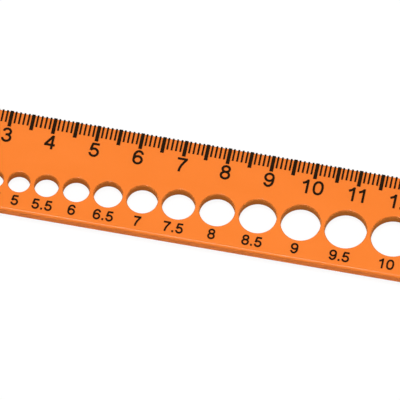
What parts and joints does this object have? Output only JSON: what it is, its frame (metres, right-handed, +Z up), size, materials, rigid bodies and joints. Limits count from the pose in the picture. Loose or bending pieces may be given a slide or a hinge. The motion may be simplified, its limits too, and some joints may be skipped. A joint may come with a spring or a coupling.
{
  "type": "hole gauge ruler",
  "caption": "Flat plastic gauge plate with a row of graded round holes for sizing rods, wires and beads, and a metric scale with raised marks along its back edge.",
  "frame": {"origin": "middle of the underside, which rests on the table", "axes": "+X along the scale, towards the larger holes and higher numbers; +Y towards the scale edge, from the row of holes; +Z up, out of the face with the scale"},
  "size_m": [0.14, 0.025, 0.0026],
  "materials": {
    "plate": "satin orange moulded plastic",
    "marks": "dull black moulded plastic"
  },
  "bodies": {
    "root": {"gauge_plate": "plate", "millimetre_marks": "marks", "half_centimetre_marks": "marks", "centimetre_marks": "marks"}
  },
  "joints": []
}
